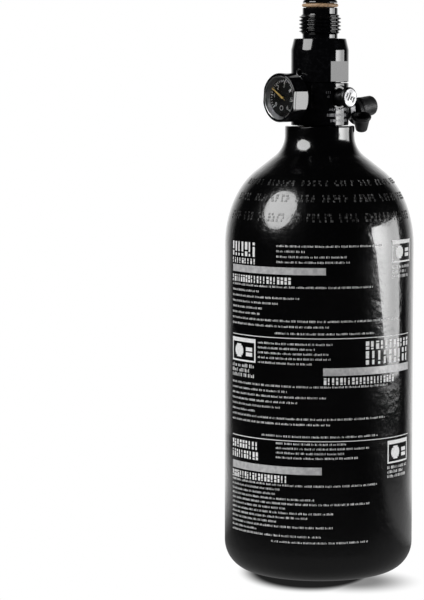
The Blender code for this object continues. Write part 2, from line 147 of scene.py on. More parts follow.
def coordinates(material, stretch=(1, 1, 1)):
    """Object coordinates in metres, stretched along an axis."""
    place = node(material, "ShaderNodeTexCoord")
    mapping = node(material, "ShaderNodeMapping", scale=stretch)
    link(material, place.outputs["Object"], mapping.inputs["Vector"])
    return mapping.outputs["Vector"]


def noise(material, scale, detail=3.0, stretch=(1, 1, 1)):
    """Noise texture; scale is cells per metre."""
    made = node(material, "ShaderNodeTexNoise", scale=scale, detail=detail)
    link(material, coordinates(material, stretch), made.inputs["Vector"])
    return made.outputs["Fac"]


def vary_roughness(material, value, low, high):
    """Roughness that follows a texture, over the middle of the texture's range."""
    made = node(material, "ShaderNodeMapRange", from_min=0.3, from_max=0.7, to_min=low, to_max=high)
    link(material, value, made.inputs["Value"])
    link(material, made.outputs["Result"], shader_of(material).inputs["Roughness"])


def vary_colour(material, value, dark, light, start=0.35, end=0.65):
    """Base colour that follows a texture."""
    ramp = node(material, "ShaderNodeValToRGB")
    ramp.color_ramp.elements[0].position = start
    ramp.color_ramp.elements[1].position = end
    ramp.color_ramp.elements[0].color = (*dark, 1.0)
    ramp.color_ramp.elements[1].color = (*light, 1.0)
    link(material, value, ramp.inputs["Fac"])
    link(material, ramp.outputs["Color"], shader_of(material).inputs["Base Color"])


def bump(material, layers):
    """Normal from layers of (texture value, depth in metres)."""
    normal = None
    for value, depth in layers:
        step = node(material, "ShaderNodeBump", strength=1.0, distance=depth)
        link(material, value, step.inputs["Height"])
        if normal:
            link(material, normal, step.inputs["Normal"])
        normal = step.outputs["Normal"]
    link(material, normal, shader_of(material).inputs["Normal"])


def gloss_paint():
    """Gloss black enamel: faint orange peel under a clear top layer, with faint dust."""
    made = new_material("gloss_black_paint", (0.0012, 0.0012, 0.0014), 0.16, Coat_Weight=1.0,
                        Coat_Roughness=0.035)
    peel = noise(made, 260, 2.0)
    fine = noise(made, 1400, 2.0)
    bump(made, [(peel, 0.00019), (fine, 0.00001)])
    dust = noise(made, 900, 4.0)
    vary_colour(made, dust, (0.001, 0.001, 0.0012), (0.004, 0.004, 0.0045), 0.55, 0.8)
    vary_roughness(made, noise(made, 35, 4.0), 0.12, 0.22)
    return made


def anodised():
    """Glossy black anodised aluminium: fine turning marks, small pits and faint smudges."""
    made = new_material("black_anodised", (0.003, 0.003, 0.0035), 0.09, Coat_Weight=0.5,
                        Coat_Roughness=0.03, Specular_IOR_Level=0.5)
    marks = noise(made, 60, 3.0, (1, 1, 60))
    grain = noise(made, 5000, 2.0)
    bump(made, [(marks, 0.000003), (grain, 0.0000012)])
    vary_roughness(made, noise(made, 90, 4.0, (1, 1, 4)), 0.06, 0.13)
    vary_colour(made, noise(made, 500, 5.0), (0.002, 0.002, 0.0025), (0.008, 0.008, 0.009),
                0.5, 0.8)
    return made


def turned_metal(name, colour, roughness, marks_scale=60):
    """Bare metal with turning marks and small stains."""
    made = new_material(name, colour, roughness, 1.0)
    marks = noise(made, marks_scale, 3.0, (1, 1, 40))
    bump(made, [(marks, 0.000012), (noise(made, 3000, 2.0), 0.000003)])
    vary_roughness(made, noise(made, 400, 4.0), roughness - 0.08, roughness + 0.12)
    light = tuple(min(1.0, c * 1.12) for c in colour)
    dark = tuple(c * 0.82 for c in colour)
    vary_colour(made, noise(made, 250, 5.0), dark, light)
    return made


def stamped_paint():
    """The same enamel over sharp stamped edges, in a lighter mottled grey as painted glints where
    the edges catch the light.
    """
    made = new_material("stamped_paint", (0.02, 0.02, 0.021), 0.3, Coat_Weight=0.6,
                        Coat_Roughness=0.1)
    bump(made, [(noise(made, 900, 3.0), 0.00015)])
    # painted glints: grey up to 0.14 over the near-black enamel stands in for light caught on the
    # stamped edges
    vary_colour(made, noise(made, 700, 4.0), (0.003, 0.003, 0.003), (0.14, 0.14, 0.14),
                0.45, 0.75)
    vary_roughness(made, noise(made, 600, 3.0), 0.15, 0.5)
    return made


def moulded_rubber():
    """Black rubber: matt, finely pitted, slightly dusty."""
    made = new_material("black_rubber", (0.02, 0.02, 0.021), 0.5, Specular_IOR_Level=0.45)
    bump(made, [(noise(made, 2600, 4.0), 0.00002), (noise(made, 300, 2.0), 0.00003)])
    vary_roughness(made, noise(made, 500, 4.0), 0.38, 0.6)
    vary_colour(made, noise(made, 350, 5.0), (0.012, 0.012, 0.013), (0.04, 0.04, 0.042))
    return made


def seal_material(name, colour):
    """Polymer seal with a slight sheen."""
    made = new_material(name, colour, 0.4)
    bump(made, [(noise(made, 2500, 3.0), 0.00001)])
    vary_colour(made, noise(made, 700, 4.0), tuple(c * 0.8 for c in colour),
                tuple(min(1.0, c * 1.2) for c in colour))
    return made


def ink_material(name, colour, roughness, metallic, patches, dark, light):
    """Screen-printed ink, slightly uneven; patches is the colour's cells per metre."""
    made = new_material(name, colour, roughness, metallic)
    bump(made, [(noise(made, 4000, 3.0), 0.000008)])
    vary_colour(made, noise(made, patches, 4.0), dark, light)
    return made


def clear_plastic():
    """Clear gauge lens."""
    made = new_material("clear_lens", (0.96, 0.97, 0.98), 0.03, IOR=1.45,
                        Transmission_Weight=1.0)
    vary_roughness(made, noise(made, 300, 3.0), 0.015, 0.05)
    return made


PAINT = gloss_paint()
STAMPED_GLINTS = stamped_paint()
ANODISED = anodised()
RUBBER = moulded_rubber()
NICKEL = turned_metal("nickel_plate", (0.5, 0.5, 0.51), 0.3)
DARK_NICKEL = turned_metal("dark_nickel", (0.06, 0.06, 0.062), 0.3)
DULL_NICKEL = turned_metal("dull_nickel", (0.5, 0.5, 0.51), 0.5)
ETCH = turned_metal("etched_metal", (0.3, 0.3, 0.31), 0.6)
STEEL = turned_metal("turned_steel", (0.56, 0.57, 0.59), 0.26)
# painted shade: a darker copy of the turned steel for the fill nipple, dimming the lamp's
# reflection on it
SHADED_NIPPLE_STEEL = turned_metal("nipple_steel_painted_shade", (0.16, 0.16, 0.165), 0.3)
SPRING = turned_metal("spring_steel", (0.3, 0.31, 0.33), 0.32)
BRASS = turned_metal("turned_brass", (0.72, 0.5, 0.22), 0.26)
COPPER = turned_metal("copper_alloy", (0.8, 0.42, 0.26), 0.3)
BRONZE = turned_metal("sintered_bronze", (0.45, 0.28, 0.14), 0.6, 900)
TAN_SEAL = seal_material("tan_seal", (0.44, 0.29, 0.17))
BLACK_SEAL = seal_material("black_seal", (0.02, 0.02, 0.02))
SEAT_PLASTIC = seal_material("seat_plastic", (0.78, 0.77, 0.72))
INK = ink_material("white_ink", (0.8, 0.8, 0.8), 0.42, 0.0, 1200, (0.68, 0.68, 0.68),
                   (0.86, 0.86, 0.86))
SILVER = ink_material("silver_ink", (0.5, 0.5, 0.51), 0.38, 0.2, 500, (0.42, 0.42, 0.43),
                      (0.6, 0.6, 0.6))
DIAL = seal_material("dial_black", (0.003, 0.003, 0.003))
GOLD = seal_material("pointer_gold", (0.95, 0.6, 0.16))
CLEAR = clear_plastic()

SLOT_MATERIALS = {
    "black_paint": PAINT, "black_anodised": ANODISED, "tan_seal": TAN_SEAL,
    "black_seal": BLACK_SEAL, "nickel": NICKEL, "steel": STEEL, "spring_steel": SPRING,
    "brass": BRASS, "bronze": BRONZE, "copper": COPPER, "white_plastic": SEAT_PLASTIC,
    "dial_black": DIAL, "pointer_gold": GOLD, "clear_lens": CLEAR, "black_rubber": RUBBER,
}


def dress_cad_nodes():
    """Give every CAD node the detailed material of its slot."""
    for part in frame["record"]["subparts"]:
        shown = frame["nodes"][part["node"]]
        shown.data.materials.clear()
        shown.data.materials.append(SLOT_MATERIALS[part["material_slot"]])


def squash_springs():
    """Copies the meshes of the pin's coil and the spring washers, so each has its own; these parts
    shorten as what they carry moves down.
    """
    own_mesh(frame["nodes"]["valve_pin_spring"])
    for i in range(1, 7):
        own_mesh(frame["nodes"][f"spring_washer_{i}"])


# ---------------------------------------------------------------- geometry helpers

def direction(azimuth, tilt=0.0):
    """Unit vector away from the axis at an azimuth, rising by a tilt."""
    a, t = math.radians(azimuth), math.radians(tilt)
    return Vector((math.sin(a) * math.cos(t), -math.cos(a) * math.cos(t), math.sin(t)))


def outward(azimuth, distance, z, tilt=0.0, turn=0.0):
    """Frame whose local Z points outwards and whose local X is the viewer's right."""
    out = direction(azimuth, tilt)
    right = Vector((0, 0, 1)).cross(out).normalized()
    up = out.cross(right)
    basis = Matrix((right, up, out)).transposed().to_4x4()
    place = Matrix.Translation(direction(azimuth) * distance * MM + Vector((0, 0, z * MM)))
    return place @ basis @ Matrix.Rotation(math.radians(turn), 4, "Z")


def arc(centre_r, centre_z, radius, start, end, count, rise=None):
    """Points (r, z) along an arc, or along an ellipse of another height."""
    rise = radius if rise is None else rise
    points = []
    for i in range(count + 1):
        a = math.radians(start + (end - start) * i / count)
        points.append((centre_r + radius * math.cos(a), centre_z + rise * math.sin(a)))
    return points


def soften(profile, cut=0.15, closed=False):
    """Profile with its corners rounded by two points each, cut mm from the corner."""
    count = len(profile)
    result = []
    for i, (r, z) in enumerate(profile):
        if not closed and i in (0, count - 1):
            result.append((r, z))
            continue
        before, after = profile[i - 1], profile[(i + 1) % count]
        for other in (before, after):
            length = math.hypot(other[0] - r, other[1] - z)
            share = min(cut, length * 0.35) / max(length, 1e-6)
            result.append((r + (other[0] - r) * share, z + (other[1] - z) * share))
    return result


def mesh_from(name, bm):
    """Mesh of what was built in a bmesh, which is then freed."""
    mesh = bpy.data.meshes.new(name)
    bm.to_mesh(mesh)
    bm.free()
    return mesh


def circle_row(bm, r, z, steps):
    """Ring of vertices about local Z, in mm."""
    angles = [math.tau * i / steps for i in range(steps)]
    return [bm.verts.new((r * math.cos(a) * MM, r * math.sin(a) * MM, z * MM)) for a in angles]


def finish_piece(name, mesh, material, body, replaced=(), sharp=35.0):
    """Object from a mesh in world metres: smooth shaded, riding on its body."""
    piece = bpy.data.objects.new(name, mesh)
    visible.objects.link(piece)
    mesh.materials.clear()
    mesh.materials.append(material)
    mesh.shade_smooth()
    mesh.set_sharp_from_angle(angle=math.radians(sharp))
    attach(piece, body)
    if replaced:
        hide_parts(*replaced)


def turned_mesh(name, profile, steps, ring=False, matrix=None, cut=0.0):
    """Mesh of a turned piece: a profile of (r, z) mm, down its outer side, about local Z."""
    if cut:
        profile = soften(profile, cut, closed=ring)
    bm = bmesh.new()
    rows = []
    for r, z in profile:
        if r < 1e-6:
            rows.append([bm.verts.new((0, 0, z * MM))])
        else:
            rows.append(circle_row(bm, r, z, steps))
    pairs = list(zip(rows, rows[1:])) + ([(rows[-1], rows[0])] if ring else [])
    for upper, lower in pairs:
        for i in range(steps):
            j = (i + 1) % steps
            corners = []
            for vertex in (upper[i % len(upper)], lower[i % len(lower)],
                           lower[j % len(lower)], upper[j % len(upper)]):
                if vertex not in corners:
                    corners.append(vertex)
            if len(corners) > 2:
                bm.faces.new(corners)
    bm.normal_update()
    mesh = mesh_from(name, bm)
    if matrix is not None:
        mesh.transform(matrix)
    return mesh


def turned(name, profile, material, body, replaced=(), steps=96, ring=False, matrix=None,
           cut=0.0, sharp=35.0):
    """Turned piece in place."""
    mesh = turned_mesh(name, profile, steps, ring, matrix, cut)
    finish_piece(name, mesh, material, body, replaced, sharp)


def circle_profile(ring_r, section_r, z):
    """Closed loop for an O-ring, down its outer side."""
    return arc(ring_r, z, section_r, 90, -270, 20)[:-1]


def cylinder_mesh(name, radius, bottom, top, sides, matrix):
    """Mesh of a cylinder or hexagon along the matrix's Z."""
    bm = bmesh.new()
    bmesh.ops.create_cone(bm, cap_ends=True, segments=sides, radius1=radius * MM,
                          radius2=radius * MM, depth=(top - bottom) * MM,
                          matrix=matrix @ Matrix.Translation((0, 0, (top + bottom) / 2 * MM)))
    return mesh_from(name, bm)


def block_mesh(name, size, centre, matrix):
    """Mesh of a box in the matrix's frame."""
    bm = bmesh.new()
    bmesh.ops.create_cube(bm, size=1.0, matrix=matrix @ Matrix.Translation(Vector(centre) * MM)
                          @ Matrix.Diagonal((*[s * MM for s in size], 1.0)))
    return mesh_from(name, bm)


def shape(mesh, tools):
    """Mesh after Booleans with (operation, tool mesh) pairs."""
    base = bpy.data.objects.new(mesh.name + "_base", mesh)
    helpers.objects.link(base)
    made = []
    for operation, tool in tools:
        other = bpy.data.objects.new(tool.name, tool)
        helpers.objects.link(other)
        made.append(other)
        step = base.modifiers.new("cut", "BOOLEAN")
        step.operation = operation
        step.solver = "EXACT"
        step.object = other
    bpy.context.view_layer.update()
    done = base.evaluated_get(bpy.context.evaluated_depsgraph_get())
    result = bpy.data.meshes.new_from_object(done)
    result.name = mesh.name
    for other in made + [base]:
        bpy.data.objects.remove(other, do_unlink=True)
    return result


# ---------------------------------------------------------------- cylinder

def make_cylinder():
    """Painted shell with its domed shoulder, neck and rounded base."""
    reach = SHELL_R - SHOULDER_CORE
    wall = [(SHELL_R, SHOULDER_Z - (SHOULDER_Z - BASE_CORNER) * i / 12) for i in range(1, 12)]
    outer = arc(NECK_R - 0.7, SHELL_TOP - 0.7, 0.7, 90, 0, 6)
    outer += arc(NECK_R + FILLET_R, FILLET_Z, FILLET_R, 180, 231.3, 14)
    outer += arc(SHOULDER_CORE, SHOULDER_Z, reach, 60.5, 0, 40, rise=SHOULDER_RISE)
    outer += wall
    outer += arc(SHELL_R - BASE_CORNER, BASE_CORNER, BASE_CORNER, 0, -90, 24)
    outer += [(27.0, 0.0), (24.0, 0.6), (20.0, 1.4), (12.0, 2.1), (0.0, 2.4)]
    inner = [(0.0, 190.0), (NECK_BORE_R, 190.0), (NECK_BORE_R, SHELL_TOP - 2.3),
             (11.2, SHELL_TOP - 2.3), (11.2, SHELL_TOP)]
    turned("cylinder_paint", inner + outer, PAINT, "cylinder",
           ["cylinder_shell"], steps=288, sharp=50.0)


def shoulder_point(angle, lift=0.0):
    """(r, z) on the shoulder's ellipse at an ellipse angle, lifted off it."""
    a = math.radians(angle)
    reach = SHELL_R - SHOULDER_CORE
    r = SHOULDER_CORE + reach * math.cos(a)
    z = SHOULDER_Z + SHOULDER_RISE * math.sin(a)
    normal = Vector((SHOULDER_RISE * math.cos(a), reach * math.sin(a))).normalized()
    return r + normal.x * lift, z + normal.y * lift


dress_cad_nodes()
squash_springs()
make_cylinder()


# ---------------------------------------------------------------- marks on curved surfaces

def wall_point(azimuth, z, lift):
    """Point on the cylinder's wall in metres."""
    return direction(azimuth) * (SHELL_R + lift) * MM + Vector((0, 0, z * MM))


def shoulder_place(azimuth, angle, lift):
    """Point on the shoulder in metres."""
    r, z = shoulder_point(angle, lift)
    return direction(azimuth) * r * MM + Vector((0, 0, z * MM))


PATCH_STEP = 2.0               # degrees between a patch's points


def add_patch(bm, place, u_low, u_high, v_low, v_high, bottom, top, inset=0.0):
    """Closed raised patch over a surface: place(u, v, lift) gives its points."""
    count = max(1, math.ceil((u_high - u_low) / PATCH_STEP))
    rims = []
    for lift, shrink in ((bottom, 0.0), (top, inset)):
        rim = []
        for v in (v_low + shrink, v_high - shrink):
            width = u_high - u_low
            side = shrink if place is not wall_point else 0.0
            rim.append([bm.verts.new(place(u_low + side + (width - 2 * side) * i / count, v, lift))
                        for i in range(count + 1)])
        rims.append(rim)
    (under_low, under_high), (over_low, over_high) = rims
    for i in range(count):
        bm.faces.new((over_low[i], over_low[i + 1], over_high[i + 1], over_high[i]))
        bm.faces.new((under_low[i + 1], under_low[i], under_high[i], under_high[i + 1]))
        bm.faces.new((under_low[i], under_low[i + 1], over_low[i + 1], over_low[i]))
        bm.faces.new((over_high[i], over_high[i + 1], under_high[i + 1], under_high[i]))
    bm.faces.new((under_low[0], over_low[0], over_high[0], under_high[0]))
    bm.faces.new((over_low[-1], under_low[-1], under_high[-1], over_high[-1]))


DEGREE = math.tau * SHELL_R / 360      # mm along the wall for one degree
INK_LIFT = 0.05
INK_SINK = -0.04


class Print:
    """Printing on the cylinder's wall, gathered into one mesh."""

    def __init__(self, seed):
        self.bm = bmesh.new()
        self.random = random.Random(seed)

    def bar(self, start, end, low, high):
        """Solid bar between two azimuths."""
        add_patch(self.bm, wall_point, start, end, low, high, INK_SINK, INK_LIFT)

    def line(self, start, end, middle, height=0.95):
        """Line of small unreadable marks in word-like groups."""
        u = start
        pitch = height * 0.7 / DEGREE
        while u < end - pitch:
            for _ in range(self.random.choice((2, 3, 4, 5, 6, 7, 8, 9))):
                if u > end - pitch:
                    break
                width = pitch * self.random.choice((0.26, 0.38, 0.52))
                tall = height * self.random.choice((1.0, 1.0, 0.72))
                self.bar(u, u + width, middle - height / 2, middle - height / 2 + tall)
                u += pitch
            u += pitch * 0.8

    def block_word(self, start, end, low, high, count):
        """Heading as a row of plain upright blocks, each cut once across."""
        pitch = (end - start) / count
        slit = (high - low) * 0.12
        for i in range(count):
            left = start + pitch * i
            right = left + pitch * self.random.choice((0.36, 0.5, 0.64))
            level = low + (high - low) * self.random.choice((0.25, 0.4, 0.6, 0.75))
            self.bar(left, right, low, level - slit / 2)
            self.bar(left, right, level + slit / 2, high)

    def pictogram(self, start, end, low, high):
        """Square sign: a frame with a solid band on top, and a disc and a block under it."""
        tall = high - low
        rim = tall * 0.07
        side = rim / DEGREE
        self.bar(start, end, low, low + rim)
        self.bar(start, end, high - rim * 2.4, high)
        self.bar(start, start + side, low + rim, high - rim * 2.4)
        self.bar(end - side, end, low + rim, high - rim * 2.4)
        across = end - start
        disc = start + across * 0.34
        rows = 7
        for i in range(rows):
            level = (i + 0.5) / rows * 2 - 1
            half = across * 0.19 * math.sqrt(1 - level * level)
            base = low + tall * (0.18 + 0.56 * i / rows)
            self.bar(disc - half, disc + half, base, base + tall * 0.56 / rows)
        self.bar(start + across * 0.64, start + across * 0.88, low + tall * 0.24, low + tall * 0.4)
        self.bar(start + across * 0.64, start + across * 0.88, low + tall * 0.46, low + tall * 0.62)

    def piece(self, name, material, slot):
        """The finished print as a piece on the cylinder."""
        finish_piece(name, mesh_from(name, self.bm), material, "cylinder")


LEFT_EDGE = -64.0
RIGHT_EDGE = 69.0
SECOND_COLUMN = -26.0


def paragraph(ink, top, pitch, ends, start=LEFT_EDGE, height=0.95):
    """Lines of small print down from a height, each from start to its own end."""
    for i, end in enumerate(ends):
        ink.line(start, end, top - pitch * i, height)


def make_print():
    """White panels of greeked print and three silver bars; no readable text."""
    ink = Print(7)
    # First panel
    ink.block_word(LEFT_EDGE, -40, 160.6, 167.6, 7)
    ink.block_word(LEFT_EDGE, -40, 157.0, 159.6, 9)
    paragraph(ink, 166.6, 2.6, (41, -8, 17, 20), SECOND_COLUMN)
    ink.pictogram(49, 71, 157.5, 168.5)
    paragraph(ink, 155.4, 2.3, (71, 66, 69), 49, 1.4)
    ink.block_word(LEFT_EDGE, -16, 147.9, 151.3, 20)
    paragraph(ink, 146.6, 2.75, (34, -38, -11, -24, -35, -37, 55, 7))
    ink.line(-27, 35, 124.0)
    ink.bar(LEFT_EDGE, RIGHT_EDGE, 121.6, 121.95)
    # Second panel
    ink.pictogram(LEFT_EDGE, -41, 108.6, 120.2)
    paragraph(ink, 106.6, 2.4, (-41, -43, -41), height=1.7)
    paragraph(ink, 118.9, 2.4, (9, -2, 6, 8, -3), -39)
    ink.block_word(29, RIGHT_EDGE, 116.0, 120.0, 11)
    ink.block_word(29, RIGHT_EDGE, 108.6, 115.2, 9)
    ink.block_word(3, 52, 99.3, 102.6, 20)
    paragraph(ink, 98.1, 2.64, (46, -18, 5, -12, -23, -40, 44, 8))
    ink.line(-36, 39, 73.6)
    ink.bar(LEFT_EDGE, RIGHT_EDGE, 71.3, 71.65)
    # Third panel
    ink.block_word(LEFT_EDGE, -38, 65.6, 69.4, 9)
    ink.block_word(LEFT_EDGE, -38, 60.6, 64.4, 10)
    paragraph(ink, 70.0, 2.3, (18, 32, 16, 25), SECOND_COLUMN)
    ink.pictogram(46, 68, 58.6, 69.9)
    paragraph(ink, 56.6, 2.2, (68, 63, 66), 46, 1.4)
    ink.block_word(LEFT_EDGE, -18, 50.6, 54.0, 20)
    paragraph(ink, 49.4, 2.28, (38, -23, -26, -2, 33, -19, 10, -6, -25, 9, -39, 3))
    ink.line(-29, 32, 21.4)
    ink.piece("printed_panels", INK, "black_paint")

    bars = Print(8)
    bars.bar(LEFT_EDGE, 4, 152.7, 156.2)
    bars.bar(2.6, RIGHT_EDGE, 103.7, 107.4)
    bars.bar(LEFT_EDGE, 2, 55.0, 58.7)
    bars.piece("printed_bars", SILVER, "black_paint")


def make_shoulder_stamping():
    """Three rows of abstract raised specks round the shoulder's front."""
    bm = bmesh.new()
    draw = random.Random(21)
    for angle, height in ((50.0, 3.6), (36.8, 4.2), (22.6, 4.6)):
        r = shoulder_point(angle)[0]
        degree = math.tau * r / 360
        meridian = math.radians(1) * math.hypot((SHELL_R - SHOULDER_CORE) *
                                                math.sin(math.radians(angle)),
                                                SHOULDER_RISE * math.cos(math.radians(angle)))
        half = height / 2 / meridian
        pitch = 2.7 / degree
        wide = 0.75 / degree
        tall = height * 0.27 / meridian
        u = -72.0
        while u < 74.0:
            for _ in range(draw.choice((2, 3, 4, 5, 6))):
                for level in (-half, -half / 3, half / 3):
                    left = u + pitch * draw.choice((0.0, 0.12, 0.3))
                    right = left + wide * draw.choice((1.0, 1.3, 1.9))
                    add_patch(bm, shoulder_place, left, right, angle + level,
                              angle + level + tall, -0.06, 0.2, inset=0.12)
                u += pitch
            u += pitch * 0.9
    finish_piece("shoulder_stamping", mesh_from("shoulder_stamping", bm), STAMPED_GLINTS, "cylinder",
                 sharp=20.0)


# ---------------------------------------------------------------- regulator

FLAT_EDGE = 10.0               # degrees: keeps the shallow edges of flats and chamfers crisp


def flared_cut(name, radius, floor, lip, top, matrix):
    """Cutter for a hole with a small chamfer at its lip."""
    return turned_mesh(name, [(0, top), (radius + 0.5 + (top - lip), top), (radius, lip - 0.5),
                              (radius, floor), (0, floor)], 32, matrix=matrix)


def make_body():
    """Regulator body with its spot faces and ports."""
    profile = [(5.0, 248.5), (10.3, 248.5), (10.3, BODY_TOP), (BODY_R, BODY_TOP),
               (BODY_R, BODY_BOTTOM), (7.9, BODY_BOTTOM), (7.9, 205), (5.0, 205)]
    mesh = turned_mesh("regulator_body_turned", profile, 128, ring=True, cut=0.3)
    tools = []
    for azimuth, radius in ((GAUGE_AZ, 4.9), (LOW_PLUG_AZ, 4.3), (HIGH_PLUG_AZ, 4.3)):
        place = outward(azimuth, 0, PORT_Z)
        tools.append(("DIFFERENCE", turned_mesh("port", [
            (0, 20), (radius + 1.7, 20), (radius + 1.7, 13.2), (radius + 0.4, 13.2),
            (radius, 12.8), (radius, 8.2), (0, 8.2)], 48, matrix=place)))
    fill = outward(FILL_AZ, BODY_R, FILL_Z, FILL_TILT)
    tools.append(("DIFFERENCE", turned_mesh("fill_port", [
        (0, 6), (6, 6), (6, -0.1), (5.0, -0.1), (4.6, -0.5), (4.6, -6), (0, -6)], 48,
        matrix=fill)))
    finish_piece("regulator_body_black", shape(mesh, tools), ANODISED, "cylinder",
                 ["regulator_body"], sharp=FLAT_EDGE)
    make_etching()


def make_etching():
    """Rows of small etched ticks on the body, in place of markings."""
    draw = random.Random(11)
    ticks = []
    for z, start, end, tall in ((231.9, 20, 66, 1.5), (229.1, 16, 68, 1.5), (226.4, 22, 68, 1.3),
                                (240.3, 13, 22, 1.3), (238.2, 16, 21, 1.3)):
        azimuth = start
        while azimuth < end:
            wide = draw.choice((0.3, 0.4, 0.8))
            high = tall * draw.choice((1.0, 1.0, 0.6))
            spot = outward(azimuth, BODY_R, z)
            ticks.append(block_mesh("tick", (wide, high, 0.04), (0, 0, 0.0), spot))
            azimuth += draw.choice((2.2, 2.8, 4.0))
    finish_piece("body_etching", join_meshes("body_etching", ticks), ETCH, "cylinder")


def thread_mesh(name):
    """Outlet thread: a true helix of V ridges, fading out at both ends."""
    steps = 120
    rows_a_turn = 14
    count = int((THREAD_TOP - THREAD_BOTTOM) / THREAD_PITCH * rows_a_turn)
    inner = THREAD_ROOT - 0.5
    profile_rows = []
    bm = bmesh.new()
    for k in range(count + 1):
        z = THREAD_TOP - (THREAD_TOP - THREAD_BOTTOM) * k / count
        row = []
        for i in range(steps):
            a = math.tau * i / steps
            phase = (z / THREAD_PITCH + i / steps) % 1.0
            ridge = 1 - abs(2 * phase - 1)
            level = min(1.0, max(0.0, (ridge - 0.12) / 0.62))
            fade = min(1.0, (THREAD_TOP - z) / 1.0, (z - THREAD_BOTTOM) / 1.0)
            r = THREAD_ROOT + (THREAD_R - THREAD_ROOT) * level * max(0.0, fade)
            row.append(bm.verts.new((r * math.cos(a) * MM, r * math.sin(a) * MM, z * MM)))
        profile_rows.append(row)
    for z in (THREAD_BOTTOM, THREAD_TOP):
        profile_rows.append(circle_row(bm, inner, z, steps))
    for upper, lower in zip(profile_rows, profile_rows[1:] + profile_rows[:1]):
        for i in range(steps):
            j = (i + 1) % steps
            bm.faces.new((upper[i], lower[i], lower[j], upper[j]))
    bm.normal_update()
    return mesh_from(name, bm)


def make_bonnet():
    """Bonnet with wrench flats, vent hole, nose and its thread."""
    root = THREAD_ROOT - 0.1
    profile = [(5.0, NOSE_TOP), (7.2, NOSE_TOP), (8.7, 284.9), (8.7, 284.4),
               (6.9, 284.4), (6.9, 282.0), (NOSE_R, 282.0), (NOSE_R, THREAD_TOP + 0.2),
               (root, THREAD_TOP), (root, THREAD_BOTTOM), (NOSE_R, THREAD_BOTTOM - 0.3),
               (NOSE_R, SHOULDER_FACE), (13.0, SHOULDER_FACE), (BODY_R, 261.2),
               (BODY_R, BONNET_BOTTOM), (10.6, BONNET_BOTTOM), (10.6, 248.9), (10.2, 249.3),
               (10.2, 262.5), (2.6, 262.5), (2.6, 267.0), (3.4, 267.0), (3.4, 273.5),
               (5.0, 273.5)]
    mesh = turned_mesh("bonnet_turned", profile, 128, ring=True, cut=0.25)
    tools = []
    for side in (0, 180):
        tools.append(("DIFFERENCE", block_mesh("flat", (40, 9.9, 6), (0, 0, 15.7),
                                               outward(50 + side, 0, 250.65))))
    tools.append(("DIFFERENCE", turned_mesh("vent", [(0, 16), (3.9, 16), (1.45, 13.4),
                                                     (1.45, 9), (0, 9)], 48,
                                            matrix=outward(VENT_AZ, 0, VENT_Z))))
    tools.append(("DIFFERENCE", turned_mesh("punch_dot", [(0, 15), (0.9, 15), (0, 14.05)], 16,
                                            matrix=outward(14, 0, SEAM_DOT_Z))))
    finish_piece("bonnet_black", shape(mesh, tools), ANODISED, "cylinder",
                 ["bonnet"], sharp=FLAT_EDGE)
    # Nickel ring in the vent's countersink, lighter than the anodised bonnet round it: a painted
    # highlight where the countersink's edge catches the light.
    turned("vent_bright_rim", [(1.95, 13.98), (2.05, 14.02), (1.6, 13.5), (1.5, 13.5)], NICKEL,
           "cylinder", ring=True, matrix=outward(VENT_AZ, 0, VENT_Z))
    finish_piece("outlet_thread", thread_mesh("outlet_thread"), ANODISED, "cylinder",
                 sharp=60.0)
    turned("outlet_seal", circle_profile(8.15, 0.9, 283.2), TAN_SEAL, "cylinder",
           ["nose_o_ring"], ring=True)
    turned("neck_seal", circle_profile(9.85, 0.95, SHELL_TOP - 1.05), BLACK_SEAL, "cylinder",
           ["neck_o_ring"], ring=True)


def make_pin_valve():
    """Brass retainer with two spanner holes, and the sprung pin in its middle."""
    retainer = turned_mesh("valve_retainer_brass", [
        (1.7, 286.2), (3.4, 286.6), (4.7, 286.6), (4.7, 278.9), (1.7, 278.9)], 64, ring=True,
        cut=0.15)
    holes = [("DIFFERENCE", cylinder_mesh("spanner", 0.5, 285.4, 288, 16,
                                          Matrix.Translation((side * 3.2 * MM, 0, 0))))
             for side in (-1, 1)]
    finish_piece("valve_retainer_brass", shape(retainer, holes), BRASS, "cylinder",
                 ["valve_retainer"])
    turned("valve_pin_turned", [
        (0, 286.9), (0.9, 286.9), (1.25, 286.4), (1.25, 277.0), (3.0, 277.0), (3.0, 274.8),
        (1.25, 274.8), (1.25, 272.5), (0, 272.5)], STEEL, "outlet_pin", ["valve_pin"],
        steps=48, cut=0.12)


# ---------------------------------------------------------------- gauge

def text_mesh(name, words, size, matrix):
    """Raised numerals in a matrix's XY plane."""
    curve = bpy.data.curves.new(name, "FONT")
    curve.body = words
    curve.size = size * MM
    curve.align_x = "CENTER"
    curve.align_y = "CENTER"
    curve.extrude = 0.02 * MM
    writing = bpy.data.objects.new(name, curve)
    helpers.objects.link(writing)
    bpy.context.view_layer.update()
    done = writing.evaluated_get(bpy.context.evaluated_depsgraph_get())
    mesh = bpy.data.meshes.new_from_object(done)
    bpy.data.objects.remove(writing, do_unlink=True)
    mesh.transform(matrix)
    return mesh


def join_meshes(name, meshes):
    """One mesh from several."""
    bm = bmesh.new()
    for mesh in meshes:
        bm.from_mesh(mesh)
    return mesh_from(name, bm)


